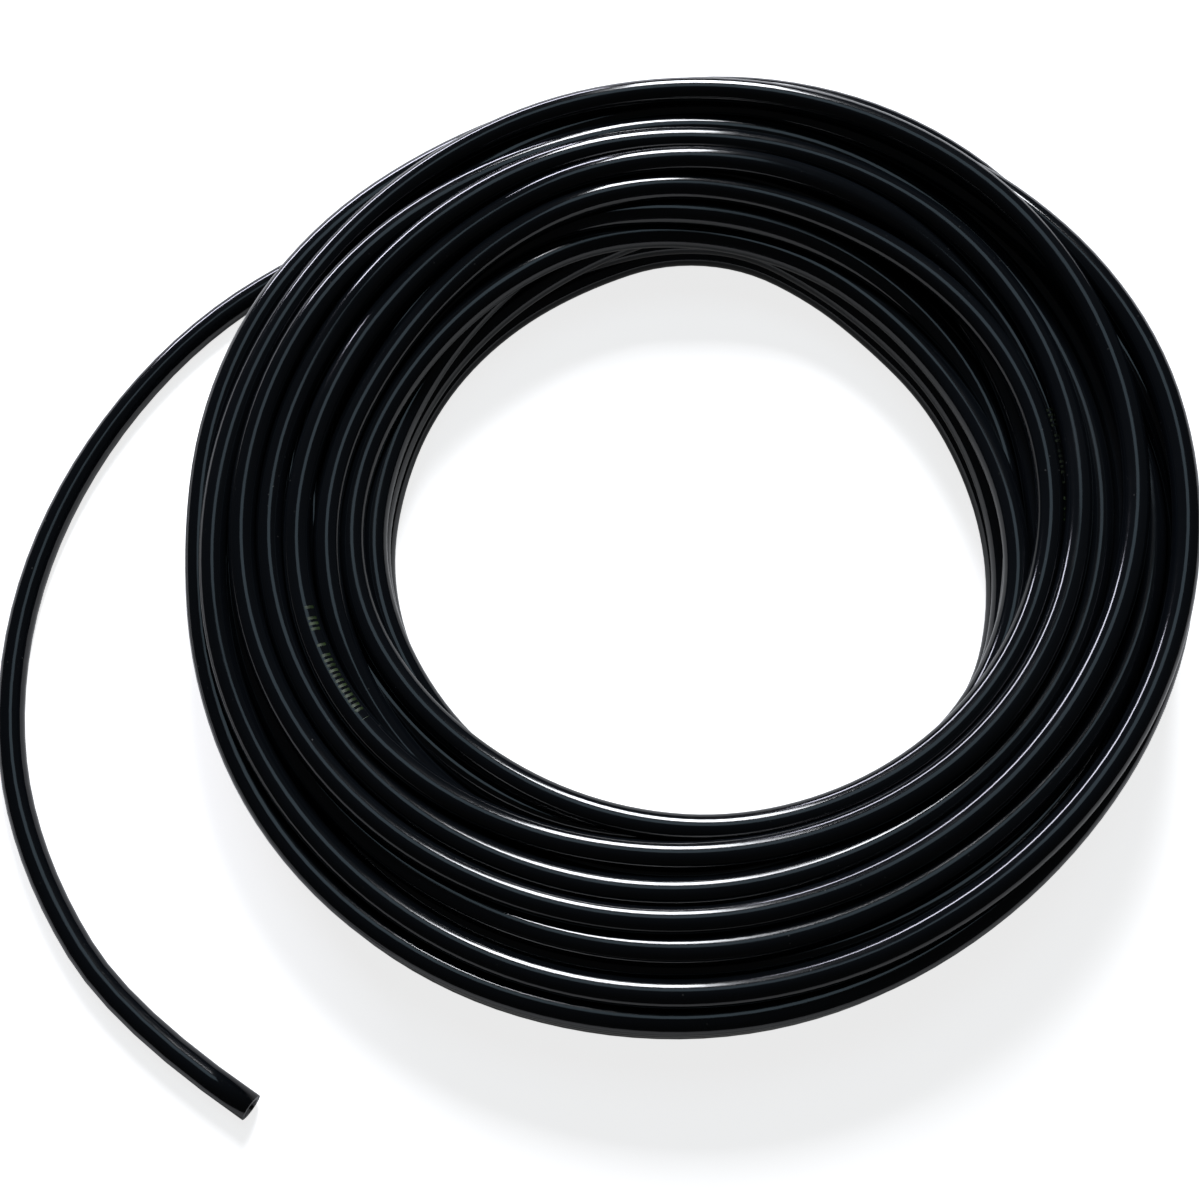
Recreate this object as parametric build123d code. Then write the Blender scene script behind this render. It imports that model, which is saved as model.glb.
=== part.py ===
from build123d import *
import math
import os

# Coiled irrigation hose: 20 m of smooth black micro tube, wound by hand into a loose ring
# that lies flat, with its outer end led off over the floor.
# Millimetres. +Z up, the resting surface is Z = 0, and Z runs up the middle of the coil's eye.

# ---- the hose ----------------------------------------------------------------------------
HOSE_OUTER_DIAMETER = 6.0
HOSE_BORE = 4.0
HOSE_LENGTH = 20000.0

# ---- the coil ----------------------------------------------------------------------------
EYE_RADIUS = 68.0
OUTER_RADIUS = 111.2         # of the two rounded ends of the ring's slightly oval outer edge
OVAL_STRETCH = 13.0          # how far apart the middles of those two ends lie
OVAL_DIRECTION = 34.0        # degrees from +X to the oval's long way
OUTER_SHIFT = (-0.3, 3.2)    # the bundle is a little wider on its far side
TURN_PACKING = 0.71          # share of the bundle that is hose, bore included
SHOULDER = 9.0               # how far the turns fall away at the top edges of the bundle
SHOULDER_EASE = 4.0          # and how much both rims of that slope are eased
TOE = 3.0                    # how far they draw in where they meet the floor

# ---- the loose outer end ------------------------------------------------------------------
# It starts under the turns, inside the middle of the oval's far flank, and lies on the floor.
LEAD_OFF_INSET = 3.9         # from the ring's outer edge in to the middle of the hose
# Corners of its route over the floor, measured from that start, on to the cut end.
TAIL_ROUTE = [
    (0.0, 0.0),
    (-28.5, -14.0),
    (-58.5, -35.0),
    (-81.5, -66.5),
    (-94.0, -102.0),
    (-94.5, -139.0),
    (-83.5, -170.5),
    (-62.0, -200.0),
    (-33.5, -218.0),
]
BEND_SHARE = 0.45            # share of the shorter run that each bend takes up
LEAD_OFF_CLEARANCE = 0.8     # free space round the hose where it comes out from under the turns

TAIL_HEIGHT = HOSE_OUTER_DIAMETER / 2


def tail_start():
    """The middle of the hose where the loose end begins."""
    flank = Vector(0, OUTER_RADIUS - LEAD_OFF_INSET, 0).rotate(Axis.Z, OVAL_DIRECTION)
    return Vector(*OUTER_SHIFT, TAIL_HEIGHT) + flank


def tail_corners():
    """The route of the loose end as points at the height of the hose's middle."""
    start = tail_start()
    return [start + Vector(x, y, 0) for x, y in TAIL_ROUTE]


def bend_radii(corners):
    """The largest bend that fits at each inner corner of the route."""
    radii = []
    for before, corner, after in zip(corners, corners[1:], corners[2:]):
        run_in = corner - before
        run_out = after - corner
        turn = math.radians(run_in.get_angle(run_out))
        shorter_run = min(run_in.length, run_out.length)
        radii.append(BEND_SHARE * shorter_run / math.tan(turn / 2))
    return radii


def tail_path():
    """Straight runs joined by tangent arcs."""
    corners = tail_corners()
    radii = bend_radii(corners)
    print("bend radii of the loose end, mm:", [round(radius, 1) for radius in radii])
    return FilletPolyline(*corners, radius=radii)


def across(path, place):
    """The plane square to the path at a place along it, from 0 to 1."""
    return Plane(origin=path @ place, z_dir=path % place)


def hose_tail(path):
    """The loose end: a hollow tube, cut square."""
    ring_face = Circle(HOSE_OUTER_DIAMETER / 2) - Circle(HOSE_BORE / 2)
    return sweep(across(path, 0) * ring_face, path=path)


def coil_plan():
    """The ring seen from above: an oval outer edge round a circular eye."""
    oval = SlotCenterToCenter(OVAL_STRETCH, 2 * OUTER_RADIUS)
    return Pos(*OUTER_SHIFT) * Rot(0, 0, OVAL_DIRECTION) * oval - Circle(EYE_RADIUS)


def corner_loss():
    """What the two shoulders and the two toes take off the bundle's square section."""
    easing = 2 * SHOULDER_EASE**2 * math.sin(math.radians(45))
    return SHOULDER**2 + easing + TOE**2


def bundle_height(plan, wound_length):
    """How high the wound length piles up over the ring's plan."""
    mean_turn = math.pi * (EYE_RADIUS + OUTER_RADIUS) + OVAL_STRETCH
    bundle_area = math.pi * HOSE_OUTER_DIAMETER**2 / 4 * wound_length / mean_turn / TURN_PACKING
    mean_width = plan.area / mean_turn
    return (bundle_area + corner_loss()) / mean_width


def coil_ring(wound_length):
    """The bundle of turns: a flat-lying ring with eased shoulders and drawn-in toes."""
    plan = coil_plan()
    height = bundle_height(plan, wound_length)
    ring = extrude(plan, amount=height)
    ring = chamfer(ring.edges().group_by(Axis.Z)[0], TOE)
    ring = chamfer(ring.edges().group_by(Axis.Z)[-1], SHOULDER)
    slope_rims = ring.edges().filter_by_position(Axis.Z, height - SHOULDER, height)
    return chamfer(slope_rims.filter_by(Plane.XY), SHOULDER_EASE)


def lead_off_channel():
    """The straight way out under the turns, from the loose end's first face to beyond the ring."""
    start, first_corner = tail_corners()[:2]
    way_out = Plane(origin=start, z_dir=first_corner - start, x_dir=(0, 0, 1))
    across_size = HOSE_OUTER_DIAMETER + 2 * LEAD_OFF_CLEARANCE
    return extrude(way_out * Rectangle(across_size, across_size), amount=OUTER_RADIUS)


def hose_coil(wound_length):
    """The coil's outer shape, with the channel that the loose end comes out of."""
    return coil_ring(wound_length) - lead_off_channel()


def main():
    os.makedirs("parts", exist_ok=True)
    path = tail_path()
    tail = hose_tail(path)
    coil = hose_coil(HOSE_LENGTH - path.length)
    hose_section = math.pi * (HOSE_OUTER_DIAMETER**2 - HOSE_BORE**2) / 4
    print("loose end, mm:", round(path.length, 1), "volume over section x length:",
          round(tail.volume / (hose_section * path.length), 4))
    print("coil height, mm:", round(coil.bounding_box().size.Z, 2))
    cut_end = path @ 1
    print("cut end, mm:", [round(value, 3) for value in cut_end])
    export_step(coil, "parts/hose_coil.step")
    export_step(tail, "parts/hose_tail.step")


main()
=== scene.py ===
import math

import bpy
import numpy as np
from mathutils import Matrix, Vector


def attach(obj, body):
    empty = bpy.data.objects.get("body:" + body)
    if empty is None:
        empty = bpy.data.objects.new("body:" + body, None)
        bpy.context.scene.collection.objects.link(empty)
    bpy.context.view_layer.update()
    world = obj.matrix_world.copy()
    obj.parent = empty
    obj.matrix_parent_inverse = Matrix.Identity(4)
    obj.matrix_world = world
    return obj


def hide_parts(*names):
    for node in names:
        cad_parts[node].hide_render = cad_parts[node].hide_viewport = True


bl_info = {
    "name": "Coiled irrigation hose",
    "version": (1, 0, 0),
    "blender": (4, 5, 0),
    "location": "3D View > Sidebar > Hose",
    "description": "A hand-wound coil of thin black irrigation hose with its outer end led off",
    "category": "Object",
}

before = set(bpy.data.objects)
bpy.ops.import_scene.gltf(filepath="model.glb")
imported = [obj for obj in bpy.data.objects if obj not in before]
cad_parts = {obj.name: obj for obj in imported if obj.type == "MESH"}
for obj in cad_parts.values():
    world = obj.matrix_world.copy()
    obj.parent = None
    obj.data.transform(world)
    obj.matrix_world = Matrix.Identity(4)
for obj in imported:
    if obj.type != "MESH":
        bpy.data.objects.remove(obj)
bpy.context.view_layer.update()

MM = 0.001                   # routes are worked out in millimetres and built in metres

# ---- the loose end, as in the part's source -------------------------------------------------
OUTER_RADIUS = 111.2
LEAD_OFF_INSET = 3.9
OVAL_DIRECTION = 34.0
OUTER_SHIFT = (-0.3, 3.2)
TAIL_ROUTE = [
    (0.0, 0.0),
    (-28.5, -14.0),
    (-58.5, -35.0),
    (-81.5, -66.5),
    (-94.0, -102.0),
    (-94.5, -139.0),
    (-83.5, -170.5),
    (-62.0, -200.0),
    (-33.5, -218.0),
]

# ---- the bundle's outline: degrees round from +X, and mm from the eye's middle --------------
OUTER_EDGE = {
    0: 114.2, 20: 118, 40: 120, 60: 118.8, 80: 115.6, 100: 113.6, 120: 112.2, 140: 114.8,
    150: 115.9, 170: 113.6, 180: 112.6, 200: 115, 220: 116.4, 240: 115, 260: 112.8,
    280: 111.4, 300: 109.5, 310: 108.2, 330: 111.2, 345: 113.2,
}
INNER_EDGE = {
    0: 69.5, 20: 68, 50: 68.3, 60: 69.8, 70: 72.4, 80: 75.4, 90: 75.6, 100: 73, 110: 70.9,
    120: 69.9, 130: 69, 140: 68.6, 160: 67.8, 170: 67.6, 180: 68.3, 190: 68.6, 210: 68,
    230: 68, 250: 67, 270: 67.4, 290: 68.2, 300: 69, 310: 70.1, 320: 71.6, 330: 73.2,
    340: 71.3, 350: 70.8,
}
TOP_INNER_EDGE = 71.0        # the upper turns lean in over the lower ones where those stand back

# ---- how the uppermost turns were laid, one row a turn, from the first to the last ----------
# Radius in mm at these places round the ring, in the direction the hose was wound. It is where
# the turn is seen from SEEN_FROM against a level plane, SEEN_PLANE high: a turn that lies
# higher is nearer to the viewer.
LAY_PLACES = (15, 45, 75, 105, 135, 165, 195, 225, 255, 285, 315, 345)
LAY_PLAN = (
    (77, 76.5, 76, 76.5, 77, 77.7, 77.3, 76, 78.5, 79, 78.5, 77),
    (78, 80.5, 84, 88, 92, 97, 97.5, 95.6, 93, 90.8, 90.2, 92),
    (98, 104, 107.5, 108.3, 107, 105, 100, 97.6, 95.2, 94.9, 95.8, 100.5),
    (102.5, 106, 110.5, 107.7, 105.3, 105.8, 108.8, 112.2, 110.5, 107, 104.5, 104.3),
    (104, 106, 103, 97, 92, 88, 83, 78.5, 75.5, 74, 73, 72),
    (72, 72, 73.5, 72, 71.5, 72.5, 72.5, 71.5, 71.5, 71.5, 73.5, 76.5),
    (82.3, 84, 81.5, 80.3, 80, 82, 82.5, 80, 82, 81.5, 79, 82.5),
    (86, 87.5, 89, 88.5, 87, 87.5, 89.5, 81.5, 75.6, 73, 74, 80),
    (88.5, 92, 94.3, 93, 93.1, 92.4, 91.9, 90.5, 86.9, 84.4, 83.3, 86.8),
    (91.5, 97, 100.3, 100, 97.4, 96.6, 96.8, 95.1, 90.8, 88.4, 88.4, 95),
    (105.5, 111.3, 107.2, 103.6, 107.8, 109, 108.2, 107.8, 107, 105.6, 104.6, 107),
)
SEEN_FROM = (-20.34, -127.99, 356.88)
SEEN_PLANE = 24.0

# ---- the last stretch: down the outside of the bundle, and off along the floor --------------
LEAD_OFF = {
    0: 108.7, 10: 110.9, 20: 112.6, 30: 114, 40: 115, 50: 115, 60: 114, 80: 111, 100: 110.6,
    112: 109.6, 123.2: 110.14, 130: 112.5, 137: 116, 145: 122,
}
LEAD_OFF_HEIGHT = {0: 27, 20: 26, 40: 24, 60: 20, 80: 13, 100: 6, 115: 3, 123.2: 3}
LEAD_OFF_ANGLE = 123.2       # where the loose end takes over
COMES_DOWN = (25, 115.2)     # the degrees between which the last stretch comes down
LED_DEGREES = (10, 60)       # and between which it is bound to that way down
LED_FIRMLY = 0.3             # the share of the way back to it in each step
HELD_FROM = -30              # from this angle on the last stretch keeps to its radius
HELD_WITHIN = 0.5            # mm outwards
LEAN_FADES = (60, 100)       # where it stops being laid by how it is seen
TAKEN_OVER = 3               # last stations that lie on the floor, as the loose end does
BESIDE_SPACE = 6.2           # mm from its middle to that of a hidden turn beside it
BESIDE_DEGREES = (10, 60)    # where that space comes in
BESIDE_SHARES = (-0.6, 1)    # and from which share of it to which
BESIDE_REACH = 3             # mm above or below it within which a turn is beside it
NO_LIMIT = 999.0

# ---- how the hidden turns are laid ----------------------------------------------------------
STATIONS = 48                # places a turn where the turns are kept apart
ROUTE_EVERY = 2              # of them one in two is a point of the hose's route
LAYER_TURNS = 5.5            # how many hidden turns lie side by side
FIRST_TURNS = 1.1            # wound close round the eye before the turns go outwards
FIRST_TUCK = 9.0             # mm that the first end is tucked in behind the next turn
TUCK_TURNS = 0.3             # and in how much of a turn it comes back from there
WANDER = ((0.63, 1.0), (0.97, 1.5), (1.41, 1.8), (2.3, 2.0))  # turns a wave, mm of reach
WANDER_BEGINS = 0.5          # turns in which the wander grows to its full reach
EDGE_SPACE = 0.5             # mm that hidden turns are laid clear of either edge
LAYING_RISE = 0.74           # mm that the bundle grows by with each hidden turn
JOINING_TURNS = 0.7          # in which the last hidden turn goes over into the first planned one
EASING_ROUNDS = 6

# ---- how the turns sink onto each other -----------------------------------------------------
LAID_RISE = 1.05             # diameters from one turn to the next before they sink
SUNK_SHARE = 0.118           # of that rise, and what is left of it at the end
SINK_STEPS = 650             # steps in which the bundle is drawn down
REST_STEPS = 650             # and in which each turn drops onto those below
REST_DROP = 0.25             # mm a step
HIDDEN_HOLD = 0.03           # how firmly hidden turns keep to their lay while they are drawn down
PLANNED_HOLD = 0.12          # how firmly planned ones do, all along
APART_ROUNDS = 3             # times in a step that touching turns are pushed apart
APART_SHARE = 0.4            # of their overlap that each gives way by
LAST_STEPS = 60              # gentler steps, in which the last overlaps give way
LAST_ROUNDS = 2
LAST_SHARE = 0.45
LAST_DROP = 0.05             # mm a step
LAST_DROP_UNTIL = 30         # degrees: the last stretch drops no more from there on
FAR_BELOW = -1000.0          # mm, where places past the hose's end are kept out of the way
STIFF_SPAN = 12              # stations: shorter bends than about this are taken out
LIMP_SPAN = 5
KERNEL_REACH = 96            # stations

# ---- the tube -------------------------------------------------------------------------------
SIDES = 18
LINE_STEPS = 6               # from one point of the route to the next
BORE_DEPTH = 0.012           # metres that the bore is open at either end

# ---- the worn ticks, in short groups along one strand ---------------------------------------
LOOSE_LENGTH = 0.29          # metres of hose before the turns are counted
MARKED_TURNS = 3.727         # from there in to the first group
GROUPS_APART = 0.3           # metres
GROUP_SHARE = 0.1            # of the way from one group to the next is marked
TICKS_A_METRE = 760.0
TICK_SHARE = 0.5             # of the way from one tick to the next is inked
TICKS_GONE = 0.3             # share of the ticks that are worn away
TICK_PLACE = 0.27            # share of the way round the hose
TICK_REACH = (0.05, 0.062)   # to either side of it: in full, and at the most


def edge_at(edge, angle):
    """The bundle's edge radius at an angle, straight between its known places."""
    places = sorted(edge)
    wrapped = [a - 360 for a in places] + places + [a + 360 for a in places]
    return np.interp(np.mod(angle, 360), wrapped, [edge[a] for a in places] * 3)


def between(angle, degrees):
    """How far the angle is from the first of two angles to the second, from 0 to 1."""
    return np.clip((angle - degrees[0]) / (degrees[1] - degrees[0]), 0, 1)


def leaning(seen, angle):
    """How far in a turn moves for each mm that it rises, if it is to be seen at one place."""
    around = np.radians(angle)
    ahead = seen - SEEN_FROM[0] * np.cos(around) - SEEN_FROM[1] * np.sin(around)
    return ahead / (SEEN_FROM[2] - SEEN_PLANE)


def planned_radii(angle):
    """The planned radius at each angle, and the angle where the first planned turn begins."""
    knots, radii = [], []
    for number, plan in enumerate(LAY_PLAN):
        base = 360 * (number - len(LAY_PLAN))
        knots += [base + place for place in LAY_PLACES]
        radii += plan
    down = [place for place in LEAD_OFF if place <= LEAD_OFF_ANGLE]
    radii += [LEAD_OFF[place] for place in down]
    return np.interp(angle, knots + down, radii), knots[0]


def unplanned_radii(angle, diameter, seed):
    """Radii that go out and back in by layers, from the eye's edge, with a small wander."""
    turns = (angle - angle[0]) / 360
    inner = edge_at(INNER_EDGE, angle) + diameter / 2 + EDGE_SPACE
    laid_height = diameter / 2 + LAYING_RISE * turns
    outer = outer_room(outer_limits(angle, diameter), laid_height) - EDGE_SPACE
    begun = np.clip(turns - FIRST_TURNS, 0, None)
    outward = abs((begun / LAYER_TURNS + 1) % 2 - 1)
    random = np.random.default_rng(seed)
    wander = np.zeros(len(angle))
    for period, reach in WANDER:
        wander += reach * np.sin(math.tau * (turns / period + random.uniform()))
    wander *= np.clip(begun / WANDER_BEGINS, 0, 1)
    tucked = FIRST_TUCK * np.clip(1 - turns / TUCK_TURNS, 0, 1)
    return np.clip(inner + (outer - inner) * outward + wander + tucked, inner, outer)


def lay_radii(angle, diameter, seed):
    """The radius each place of the hose is laid at, and which places are hidden ones."""
    planned, plan_begins = planned_radii(angle)
    unplanned = unplanned_radii(angle, diameter, seed)
    hidden = angle < plan_begins
    turns = (angle - angle[0]) / 360
    share = np.clip((turns - turns[hidden][-1]) / JOINING_TURNS + 1, 0, 1)
    lay = np.where(hidden, (1 - share) * unplanned + share * LAY_PLAN[0][0], planned)
    for _ in range(EASING_ROUNDS):
        lay[1:-1] = (lay[:-2] + 2 * lay[1:-1] + lay[2:]) / 4
    return lay, hidden


def outer_limits(angle, diameter):
    """The edge for a turn's middle, the limit beside the lead-off, and the lead-off's height."""
    place = np.mod(angle, 360)
    edge = edge_at(OUTER_EDGE, angle) - diameter / 2
    beside = np.interp(place, list(LEAD_OFF), list(LEAD_OFF.values()), right=NO_LIMIT)
    beside = beside - BESIDE_SPACE * np.interp(place, BESIDE_DEGREES, BESIDE_SHARES)
    level = np.interp(place, list(LEAD_OFF_HEIGHT), list(LEAD_OFF_HEIGHT.values()))
    return edge, np.minimum(edge, beside), level


def outer_room(limits, height):
    """How far out a hidden turn may lie: the lead-off leaves it less room beside it."""
    edge, beside, level = limits
    clear = (np.abs(height - level) - BESIDE_REACH) / BESIDE_REACH
    return beside + (edge - beside) * np.clip(clear, 0, 1)


def bending_kernel(span):
    """The weights of a filter that keeps bends longer than the span, in stations."""
    rate = np.fft.rfftfreq(4 * KERNEL_REACH)
    answer = np.fft.irfft(1 / (1 + (span * rate) ** 4))
    kernel = np.concatenate([answer[-KERNEL_REACH:], answer[: KERNEL_REACH + 1]])
    return kernel / kernel.sum()


STIFF, LIMP = bending_kernel(STIFF_SPAN), bending_kernel(LIMP_SPAN)


def stiffly(values, kernel):
    """Let the hose bend only gently: its ends stay free."""
    reach = len(kernel) // 2
    before = 2 * values[0] - values[reach:0:-1]
    after = 2 * values[-1] - values[-2 : -reach - 2 : -1]
    return np.convolve(np.concatenate([before, values, after]), kernel, "valid")


def pusher(count, diameter):
    """The step that pushes touching turns apart, at each station round the ring by itself."""
    rows = math.ceil(count / STATIONS)
    spare = rows * STATIONS - count
    live = np.arange(rows * STATIONS).reshape(rows, STATIONS) < count
    away = FAR_BELOW - 100.0 * np.arange(rows)[:, None] * np.ones(STATIONS)
    same = np.arange(rows)

    def push_apart(radius, height, share):
        r = np.append(radius, np.zeros(spare)).reshape(rows, STATIONS)
        h = np.append(height, np.zeros(spare)).reshape(rows, STATIONS)
        h = np.where(live, h, away)
        across = r[:, None] - r[None]
        up = h[:, None] - h[None]
        gap = np.sqrt(across**2 + up**2) + 1e-9
        push = share * np.maximum(diameter - gap, 0) / gap
        push[same, same] = 0
        r = r + (push * across).sum(1)
        h = h + (push * up).sum(1)
        return r.reshape(-1)[:count], h.reshape(-1)[:count], float(push.max() / share)

    return push_apart


def settle(angle, lay, hidden, diameter):
    """Let the turns, laid one above the other, sink until they rest on each other."""
    push_apart = pusher(len(angle), diameter)
    floor = diameter / 2
    low = edge_at(INNER_EDGE, angle) + diameter / 2
    low = np.where(hidden, low, np.minimum(low, TOP_INNER_EDGE + diameter / 2))
    limits = outer_limits(angle, diameter)
    lean = np.where(hidden, 0, leaning(lay, angle)) * (1 - between(angle, LEAN_FADES))
    lean = stiffly(lean, LIMP)
    level = LAID_RISE * diameter * np.arange(len(angle)) / STATIONS
    down = between(angle, COMES_DOWN)
    level *= 1 - down**2 * (3 - 2 * down)
    led = LED_FIRMLY * between(angle, LED_DEGREES)
    radius, height = lay.copy(), floor + level

    def keep_apart(radius, height, high, rounds, share):
        for _ in range(rounds):
            radius, height, worst = push_apart(radius, height, share)
            height = np.maximum(height, floor)
            radius = np.clip(radius, low, high)
        height[-TAKEN_OVER:] = floor
        radius[-TAKEN_OVER + 1 :] = lay[-TAKEN_OVER + 1 :]
        return radius, height, worst

    for step in range(SINK_STEPS + REST_STEPS):
        sinking = step < SINK_STEPS
        course = floor + SUNK_SHARE ** min(1.0, step / SINK_STEPS) * level
        if sinking:
            height = floor + (height - floor) * SUNK_SHARE ** (1 / SINK_STEPS)
        else:
            height = height - REST_DROP
        height = height + led * (course - height)
        aim = lay - lean * (height - SEEN_PLANE)
        high = np.where(hidden, outer_room(limits, height), limits[0])
        high = np.where(angle > HELD_FROM, np.minimum(high, aim + HELD_WITHIN), high)
        hold = np.where(hidden, HIDDEN_HOLD if sinking else 0.0, PLANNED_HOLD)
        radius = radius + hold * (aim - radius)
        radius = aim + stiffly(radius - aim, STIFF)
        height = course + stiffly(height - course, STIFF)
        radius, height, _ = keep_apart(radius, height, high, APART_ROUNDS, APART_SHARE)
    aim = lay - lean * (height - SEEN_PLANE)
    for _ in range(LAST_STEPS):
        radius = aim + stiffly(radius - aim, LIMP)
        height = stiffly(height - LAST_DROP * (angle < LAST_DROP_UNTIL), LIMP)
        radius, height, worst = keep_apart(radius, height, high, LAST_ROUNDS, LAST_SHARE)
    print("deepest overlap left", round(worst * diameter, 3), "mm")
    return radius, height


def tail_points(diameter):
    """The loose end's route from its cut end to where it goes in under the turns, in mm."""
    turned = math.radians(OVAL_DIRECTION + 90)
    flank = OUTER_RADIUS - LEAD_OFF_INSET
    start = (OUTER_SHIFT[0] + flank * math.cos(turned), OUTER_SHIFT[1] + flank * math.sin(turned))
    return [(start[0] + x, start[1] + y, diameter / 2) for x, y in reversed(TAIL_ROUTE)]


def coil_points(turns, diameter, seed):
    """The coil's route from the lead-off in to the buried inner end, in mm.

    The line keeps inside its route's corners, so the route is as much wider.
    """
    count = round(turns * STATIONS) + 1
    angle = LEAD_OFF_ANGLE - 360.0 * np.arange(count)[::-1] / STATIONS
    lay, hidden = lay_radii(angle, diameter, seed)
    radius, height = settle(angle, lay, hidden, diameter)
    radius = radius / math.cos(math.pi * ROUTE_EVERY / STATIONS)
    around = np.radians(angle)
    route = np.stack([radius * np.cos(around), radius * np.sin(around), height], axis=1)
    return route[::-1][::ROUTE_EVERY]


def hose_line(points):
    """One open NURBS spline through the whole route, as a curve object."""
    curve = bpy.data.curves.new("hose line", "CURVE")
    curve.dimensions = "3D"
    curve.resolution_u = LINE_STEPS
    spline = curve.splines.new("NURBS")
    spline.points.add(len(points) - 1)
    for place, point in zip(spline.points, points):
        place.co = (*(MM * value for value in point), 1.0)
    spline.order_u = 3
    spline.use_endpoint_u = True
    line = bpy.data.objects.new("hose line", curve)
    bpy.context.collection.objects.link(line)
    return line


def line_points(line):
    """The points that the line runs through, in metres."""
    bpy.context.view_layer.update()
    graph = bpy.context.evaluated_depsgraph_get()
    mesh = bpy.data.meshes.new_from_object(line.evaluated_get(graph))
    points = np.array([vertex.co[:] for vertex in mesh.vertices])
    bpy.data.meshes.remove(mesh)
    return points


def crossways(points):
    """Two directions across the line at each of its points, carried along without a twist."""
    tangent = np.gradient(points, axis=0)
    tangent[0] = points[1] - points[0]
    tangent[-1] = points[-1] - points[-2]
    tangent /= np.linalg.norm(tangent, axis=1)[:, None]
    side = np.zeros_like(points)
    side[0] = np.cross((0, 0, 1), tangent[0])
    for i in range(1, len(points)):
        side[i] = side[i - 1] - tangent[i] * side[i - 1].dot(tangent[i])
        side[i] /= np.linalg.norm(side[i])
    return side, np.cross(tangent, side)


def tube(points, diameter, bore, name):
    """A hose along the points: its skin, a square-cut rim and a real bore at either end."""
    steps = np.linalg.norm(np.diff(points, axis=0), axis=1)
    along = np.concatenate([[0], np.cumsum(steps)])
    side, other = crossways(points)
    turn = math.tau * np.arange(SIDES) / SIDES

    def ring(i, radius):
        return points[i] + radius * (
            np.cos(turn)[:, None] * side[i] + np.sin(turn)[:, None] * other[i]
        )

    near = [i for i in range(len(points)) if along[i] < BORE_DEPTH]
    far = [i for i in range(len(points)) if along[i] > along[-1] - BORE_DEPTH]
    order = [(i, bore / 2) for i in reversed(near)]
    order += [(i, diameter / 2) for i in range(len(points))]
    order += [(i, bore / 2) for i in reversed(far)]
    rings = np.array([ring(i, radius) for i, radius in order]).reshape(-1, 3)
    faces, slots, uvs = [], [], []
    for k in range(len(order) - 1):
        a, b = k * SIDES, (k + 1) * SIDES
        here, there = order[k][0], order[k + 1][0]
        for s in range(SIDES):
            n = (s + 1) % SIDES
            faces.append((a + s, a + n, b + n, b + s))
            slots.append(1 if here == there else 0)
            for i, column in ((here, s), (here, s + 1), (there, s + 1), (there, s)):
                uvs += [along[i], column / SIDES]
    bottoms = [tuple(range(SIDES))[::-1], tuple(range(len(rings) - SIDES, len(rings)))]
    mesh = bpy.data.meshes.new(name)
    mesh.from_pydata(rings.tolist(), [], faces + bottoms)
    mesh.polygons.foreach_set("material_index", slots + [0, 0])
    smooth = [slot == 0 for slot in slots]
    mesh.polygons.foreach_set("use_smooth", smooth + [False, False])
    layer = mesh.uv_layers.new(name="along and around")
    layer.data.foreach_set("uv", uvs + [0.0, 0.0] * (len(bottoms) * SIDES))
    mesh.update()
    hose = bpy.data.objects.new(name, mesh)
    bpy.context.collection.objects.link(hose)
    return hose


def effect(name, inputs, outputs):
    """An empty shader node group with these float or vector inputs and float outputs."""
    tree = bpy.data.node_groups.new(name, "ShaderNodeTree")
    for label, kind, value in inputs:
        socket = tree.interface.new_socket(label, in_out="INPUT", socket_type=kind)
        if value is not None:
            socket.default_value = value
    for label in outputs:
        tree.interface.new_socket(label, in_out="OUTPUT", socket_type="NodeSocketFloat")
    return tree, tree.nodes.new("NodeGroupInput"), tree.nodes.new("NodeGroupOutput")


def put(tree, kind, settings=None, **values):
    """Add a node: its own settings, then what goes into its sockets, by name or place."""
    node = tree.nodes.new(kind)
    for key, value in (settings or {}).items():
        setattr(node, key, value)
    for key, value in values.items():
        socket = node.inputs[int(key[1:]) if key[0] == "_" else key.replace("_", " ")]
        if isinstance(value, bpy.types.NodeSocket):
            tree.links.new(value, socket)
        else:
            socket.default_value = value
    return node


def calculate(tree, operation, first, second=0.0):
    """A sum on one or two values, either of which may be a plain number."""
    return put(tree, "ShaderNodeMath", {"operation": operation}, _0=first, _1=second).outputs[0]


def rescale(tree, value, old, new=(0.0, 1.0)):
    """Map one range of a value onto another, and stop at its ends."""
    node = put(
        tree, "ShaderNodeMapRange", {"clamp": True}, Value=value,
        From_Min=old[0], From_Max=old[1], To_Min=new[0], To_Max=new[1],
    )
    return node.outputs["Result"]


def noise(tree, vector, scale, detail, roughness=0.5):
    """Smooth noise, as a value about 0.5."""
    values = {"Vector": vector, "Scale": scale, "Detail": detail, "Roughness": roughness}
    return put(tree, "ShaderNodeTexNoise", None, **values).outputs["Fac"]


def handling_effect():
    """Where the hose was handled or gathered dust: smears and a few specks."""
    tree, given, result = effect(
        "handling", [("Position", "NodeSocketVector", None)], ["Smears", "Specks"]
    )
    place = given.outputs["Position"]
    smears = rescale(tree, noise(tree, place, 38.0, 3.0, 0.6), (0.45, 0.75))
    specks = put(tree, "ShaderNodeTexVoronoi", None, Vector=place, Scale=420.0)
    rare = rescale(tree, noise(tree, place, 60.0, 1.0), (0.5, 0.7))
    near = rescale(tree, specks.outputs["Distance"], (0.05, 0.11), (1.0, 0.0))
    tree.links.new(smears, result.inputs["Smears"])
    tree.links.new(calculate(tree, "MULTIPLY", near, rare), result.inputs["Specks"])
    return tree


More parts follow.
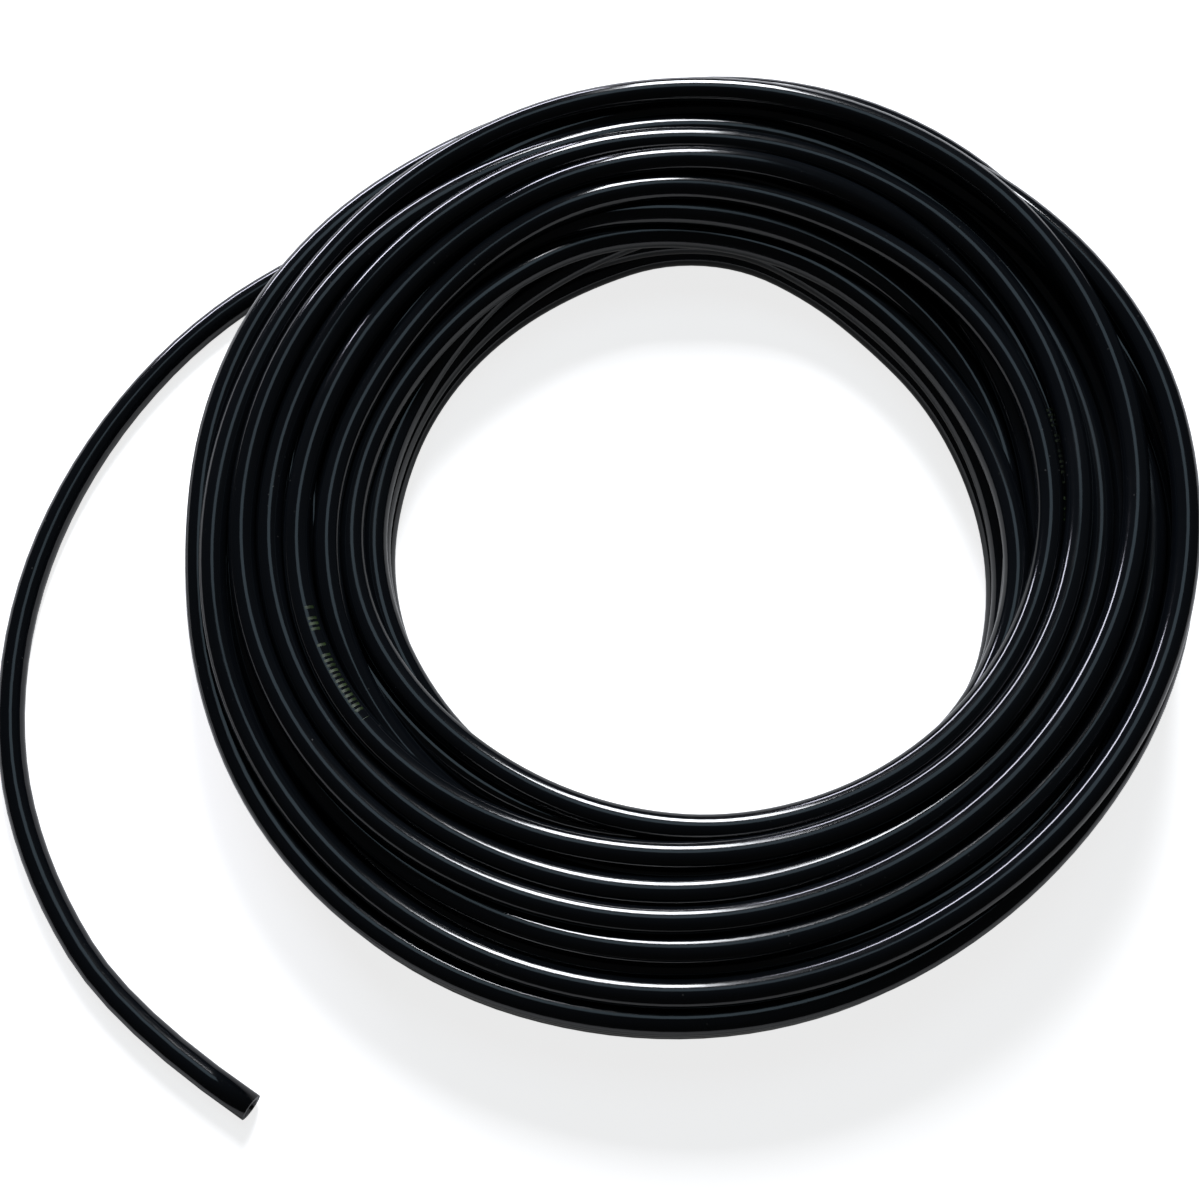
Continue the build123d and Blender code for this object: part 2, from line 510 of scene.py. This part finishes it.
def extrusion_effect():
    """The fine lines that the die leaves along a hose, and its slight unevenness."""
    tree, given, result = effect(
        "extrusion", [("Along", "NodeSocketFloat", 0.0), ("Around", "NodeSocketFloat", 0.0)],
        ["Height", "Unevenness"],
    )
    turn = calculate(tree, "MULTIPLY", given.outputs["Around"], math.tau)
    place = put(
        tree, "ShaderNodeCombineXYZ", None,
        X=calculate(tree, "MULTIPLY", given.outputs["Along"], 2.0),
        Y=calculate(tree, "COSINE", turn), Z=calculate(tree, "SINE", turn),
    ).outputs[0]
    stretch = (9.0, 0.4, 0.4)
    stretched = put(
        tree, "ShaderNodeVectorMath", {"operation": "MULTIPLY"}, _0=place, _1=stretch
    ).outputs[0]
    tree.links.new(noise(tree, place, 9.0, 3.0), result.inputs["Height"])
    tree.links.new(noise(tree, stretched, 1.0, 2.0), result.inputs["Unevenness"])
    return tree


def marking_effect():
    """Worn ticks on one side of the hose, in short groups, without any lettering."""
    sockets = {"Along": 0.0, "Around": 0.0, "First": 0.0, "Apart": GROUPS_APART, "Groups": 2.0}
    tree, given, result = effect(
        "length marking",
        [(name, "NodeSocketFloat", value) for name, value in sockets.items()], ["Mask"],
    )
    along, around = given.outputs["Along"], given.outputs["Around"]
    since = calculate(tree, "SUBTRACT", along, given.outputs["First"])
    number = calculate(tree, "DIVIDE", since, given.outputs["Apart"])
    begun = calculate(tree, "GREATER_THAN", number, 0.0)
    going = calculate(tree, "LESS_THAN", number, given.outputs["Groups"])
    within = calculate(tree, "LESS_THAN", calculate(tree, "FRACT", number), GROUP_SHARE)
    ticks = calculate(tree, "MULTIPLY", along, TICKS_A_METRE)
    tick = calculate(tree, "FLOOR", ticks)
    chance = put(tree, "ShaderNodeTexWhiteNoise", {"noise_dimensions": "1D"}, W=tick)
    shown = calculate(tree, "GREATER_THAN", chance.outputs["Value"], TICKS_GONE)
    inked = calculate(tree, "LESS_THAN", calculate(tree, "FRACT", ticks), TICK_SHARE)
    offset = calculate(tree, "ABSOLUTE", calculate(tree, "SUBTRACT", around, TICK_PLACE))
    band = rescale(tree, offset, TICK_REACH, (1.0, 0.0))
    place = put(tree, "ShaderNodeCombineXYZ", None, X=calculate(tree, "MULTIPLY", along, 320.0))
    worn = rescale(tree, noise(tree, place.outputs[0], 1.0, 2.0), (0.34, 0.58), (0.2, 1.0))
    mask = calculate(tree, "MULTIPLY", begun, going)
    for part in (within, shown, inked, band, worn):
        mask = calculate(tree, "MULTIPLY", mask, part)
    tree.links.new(mask, result.inputs["Mask"])
    return tree


def blank_material(name):
    """A new material, its node tree and its shader."""
    material = bpy.data.materials.new(name)
    material.use_nodes = True
    return material, material.node_tree, material.node_tree.nodes["Principled BSDF"]


def blend_colours(tree, share, first, second):
    """One colour going over into another as the share rises."""
    node = tree.nodes.new("ShaderNodeMix")
    node.data_type = "RGBA"
    tree.links.new(share, node.inputs["Factor"])
    for socket, colour in ((node.inputs[6], first), (node.inputs[7], second)):
        if isinstance(colour, bpy.types.NodeSocket):
            tree.links.new(colour, socket)
        else:
            socket.default_value = (*colour, 1.0)
    return node.outputs[2]


def skin_material(colour, marking, first_mark, handling, extrusion, marks):
    """Glossy black plastic, straight from the die, with dull ticks on one strand."""
    material, tree, shader = blank_material("glossy black hose")
    uv = put(tree, "ShaderNodeUVMap", {"uv_map": "along and around"}).outputs[0]
    split = put(tree, "ShaderNodeSeparateXYZ", None, Vector=uv)
    along, around = split.outputs[0], split.outputs[1]
    place = put(tree, "ShaderNodeTexCoord").outputs["Object"]
    touched = put(tree, "ShaderNodeGroup", {"node_tree": handling}, Position=place)
    drawn = put(tree, "ShaderNodeGroup", {"node_tree": extrusion}, Along=along, Around=around)
    marked = put(
        tree, "ShaderNodeGroup", {"node_tree": marks}, Along=along, Around=around,
        First=first_mark,
    )
    dust = calculate(tree, "MULTIPLY", touched.outputs["Specks"], 0.5)
    darker, dusty = tuple(0.6 * value for value in colour), (0.05, 0.05, 0.047)
    shade = blend_colours(tree, drawn.outputs["Unevenness"], colour, darker)
    shade = blend_colours(tree, dust, shade, dusty)
    shade = blend_colours(tree, marked.outputs["Mask"], shade, marking)
    tree.links.new(shade, shader.inputs["Base Color"])
    gloss = rescale(tree, touched.outputs["Smears"], (0.0, 1.0), (0.1, 0.17))
    gloss = calculate(tree, "ADD", gloss, calculate(tree, "MULTIPLY", dust, 0.4))
    matt = calculate(tree, "MULTIPLY", marked.outputs["Mask"], 0.35)
    tree.links.new(calculate(tree, "ADD", gloss, matt), shader.inputs["Roughness"])
    bump = put(
        tree, "ShaderNodeBump", None, Strength=0.25, Distance=0.00002,
        Height=drawn.outputs["Height"],
    )
    tree.links.new(bump.outputs[0], shader.inputs["Normal"])
    shader.inputs["IOR"].default_value = 1.5
    return material


def cut_material(handling):
    """The end face, duller and paler where the blade smeared it."""
    material, tree, shader = blank_material("cut end of the hose")
    place = put(tree, "ShaderNodeTexCoord").outputs["Object"]
    touched = put(tree, "ShaderNodeGroup", {"node_tree": handling}, Position=place)
    drag = put(
        tree, "ShaderNodeTexWave", {"bands_direction": "Z"}, Vector=place, Scale=900.0,
        Distortion=3.0,
    ).outputs["Fac"]
    cut, dragged, smeared = (0.04, 0.042, 0.046), (0.075, 0.078, 0.084), (0.1, 0.1, 0.1)
    shade = blend_colours(tree, drag, cut, dragged)
    shade = blend_colours(tree, touched.outputs["Smears"], shade, smeared)
    tree.links.new(shade, shader.inputs["Base Color"])
    rough = rescale(tree, drag, (0.0, 1.0), (0.35, 0.5))
    tree.links.new(rough, shader.inputs["Roughness"])
    bump = put(tree, "ShaderNodeBump", None, Strength=0.3, Distance=0.00003, Height=drag)
    tree.links.new(bump.outputs[0], shader.inputs["Normal"])
    return material


class HoseProperties(bpy.types.PropertyGroup):
    diameter: bpy.props.FloatProperty(
        name="Outer diameter", description="Outside of the hose", default=0.006,
        unit="LENGTH", precision=4,
    )
    bore: bpy.props.FloatProperty(
        name="Bore", description="Inside of the hose", default=0.004, unit="LENGTH", precision=4
    )
    turns: bpy.props.FloatProperty(
        name="Turns", description="How often the hose goes round the coil", default=34.6
    )
    colour: bpy.props.FloatVectorProperty(
        name="Colour", description="The plastic of the hose", subtype="COLOR", size=3,
        default=(0.0035, 0.0045, 0.006), min=0.0, max=1.0,
    )
    marking: bpy.props.FloatVectorProperty(
        name="Marking", description="The worn ticks along one strand", subtype="COLOR", size=3,
        default=(0.018, 0.036, 0.005), min=0.0, max=1.0,
    )
    seed: bpy.props.IntProperty(
        name="Seed", description="Which wander the hidden turns take", default=21
    )


def first_mark(path):
    """How far along its line the hose carries the first group of ticks, in metres."""
    angle = np.degrees(np.unwrap(np.arctan2(path[:, 1], path[:, 0])))
    along = np.linalg.norm(np.diff(path, axis=0), axis=1).cumsum()
    begin = int(np.argmax(along > LOOSE_LENGTH))
    turned = angle[begin] - angle
    spot = begin + int(np.argmax(turned[begin:] > MARKED_TURNS * 360))
    return float(along[spot])


class HOSE_OT_wind(bpy.types.Operator):
    """Wind the hose into its coil and lead its outer end off over the floor"""

    bl_idname = "hose.wind"
    bl_label = "Wind the hose"

    def execute(self, context):
        sizes = context.scene.hose
        diameter = sizes.diameter / MM
        coil = coil_points(sizes.turns, diameter, sizes.seed)
        points = tail_points(diameter) + coil[1:].tolist()
        line = hose_line(points)
        path = line_points(line)
        length = float(np.linalg.norm(np.diff(path, axis=0), axis=1).sum())
        print("hose length along its line", round(length, 3), "m,", len(path), "points")
        print("coil height", round(float(path[:, 2].max() / MM + diameter / 2), 2), "mm")
        hose = tube(path, sizes.diameter, sizes.bore, "hose_wound")
        handling = handling_effect()
        skin = skin_material(
            tuple(sizes.colour), tuple(sizes.marking), first_mark(path), handling,
            extrusion_effect(), marking_effect(),
        )
        hose.data.materials.append(skin)
        hose.data.materials.append(cut_material(handling))
        print("triangles", sum(len(face.vertices) - 2 for face in hose.data.polygons))
        bpy.data.objects.remove(line)
        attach(hose, "root")
        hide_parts("hose_coil", "hose_tail")
        return {"FINISHED"}


def main_camera():
    """The camera, at the place that the upper turns are laid to be seen from."""
    data = bpy.data.cameras.new("camera")
    data.lens = 48.04
    data.sensor_width = 36.0
    data.clip_start = 0.01
    camera = bpy.data.objects.new("camera", data)
    camera.location = [MM * value for value in SEEN_FROM]
    camera.rotation_euler = (math.radians(17.97), 0, 0)
    bpy.context.collection.objects.link(camera)
    return camera


def floor_material():
    """A pale floor that glows for the camera, and only faintly in what mirrors it."""
    material, tree, shader = blank_material("pale floor")
    shader.inputs["Base Color"].default_value = (0.8, 0.8, 0.8, 1)
    shader.inputs["Roughness"].default_value = 0.9
    shader.inputs["Specular IOR Level"].default_value = 0.0
    shader.inputs["Emission Color"].default_value = (1, 1, 1, 1)
    ray = put(tree, "ShaderNodeLightPath").outputs
    bounced = calculate(tree, "MAXIMUM", ray["Is Glossy Ray"], ray["Is Transmission Ray"])
    mirrored = calculate(tree, "MULTIPLY", bounced, 0.13)
    seen = calculate(tree, "MULTIPLY", ray["Is Camera Ray"], 0.8)
    glow = calculate(tree, "MAXIMUM", mirrored, seen)
    tree.links.new(glow, shader.inputs["Emission Strength"])
    return material


def floor_plane(half):
    """A square of floor, half its side given in metres."""
    mesh = bpy.data.meshes.new("floor")
    corners = [(-half, -half, 0), (half, -half, 0), (half, half, 0), (-half, half, 0)]
    mesh.from_pydata(corners, [], [(0, 1, 2, 3)])
    mesh.materials.append(floor_material())
    floor = bpy.data.objects.new("floor", mesh)
    bpy.context.collection.objects.link(floor)
    return floor


def area_light(name, place, across, up, power, colour):
    """A rectangle of light that faces the middle of the coil."""
    data = bpy.data.lights.new(name, "AREA")
    data.energy = power
    data.color = colour
    data.shape = "RECTANGLE"
    data.size = across
    data.size_y = up
    light = bpy.data.objects.new(name, data)
    light.location = place
    light.rotation_euler = (-Vector(place)).to_track_quat("-Z", "Y").to_euler()
    bpy.context.collection.objects.link(light)
    return light


class HOSE_OT_stage(bpy.types.Operator):
    """Set up the floor, the lights and the camera"""

    bl_idname = "hose.stage"
    bl_label = "Set the stage"

    def execute(self, context):
        scene = context.scene
        scene.view_settings.view_transform = "Standard"
        scene.camera = main_camera()
        floor_plane(half=2.0)

        world = bpy.data.worlds.new("room")
        world.use_nodes = True
        background = world.node_tree.nodes["Background"]
        background.inputs["Color"].default_value = (0.9, 0.95, 1, 1)
        background.inputs["Strength"].default_value = 0.03
        scene.world = world

        for light in (
            ("overhead panel", (0.05, 0.36, 1.0), 0.4, 0.4, 0.55, (0.62, 0.84, 1.0)),
            ("far window", (0.04, 0.86, 0.66), 0.24, 0.46, 13.0, (0.93, 0.95, 1.0)),
            ("low far strip", (-0.46, 0.96, 0.3), 0.7, 0.16, 8.0, (0.84, 0.84, 1.0)),
        ):
            area_light(*light)
        return {"FINISHED"}


class HOSE_PT_panel(bpy.types.Panel):
    """The hose's sizes and the steps that build it"""

    bl_label = "Coiled hose"
    bl_idname = "HOSE_PT_panel"
    bl_space_type = "VIEW_3D"
    bl_region_type = "UI"
    bl_category = "Hose"

    def draw(self, context):
        sizes = context.scene.hose
        for name in ("diameter", "bore", "turns", "colour", "marking", "seed"):
            self.layout.prop(sizes, name)
        self.layout.operator("hose.stage")
        self.layout.operator("hose.wind")


CLASSES = (HoseProperties, HOSE_OT_wind, HOSE_OT_stage, HOSE_PT_panel)


def register():
    for kind in CLASSES:
        bpy.utils.register_class(kind)
    bpy.types.Scene.hose = bpy.props.PointerProperty(type=HoseProperties)


def unregister():
    del bpy.types.Scene.hose
    for kind in reversed(CLASSES):
        bpy.utils.unregister_class(kind)


def main():
    register()
    bpy.ops.hose.stage()
    bpy.ops.hose.wind()


if __name__ == "__main__":
    main()
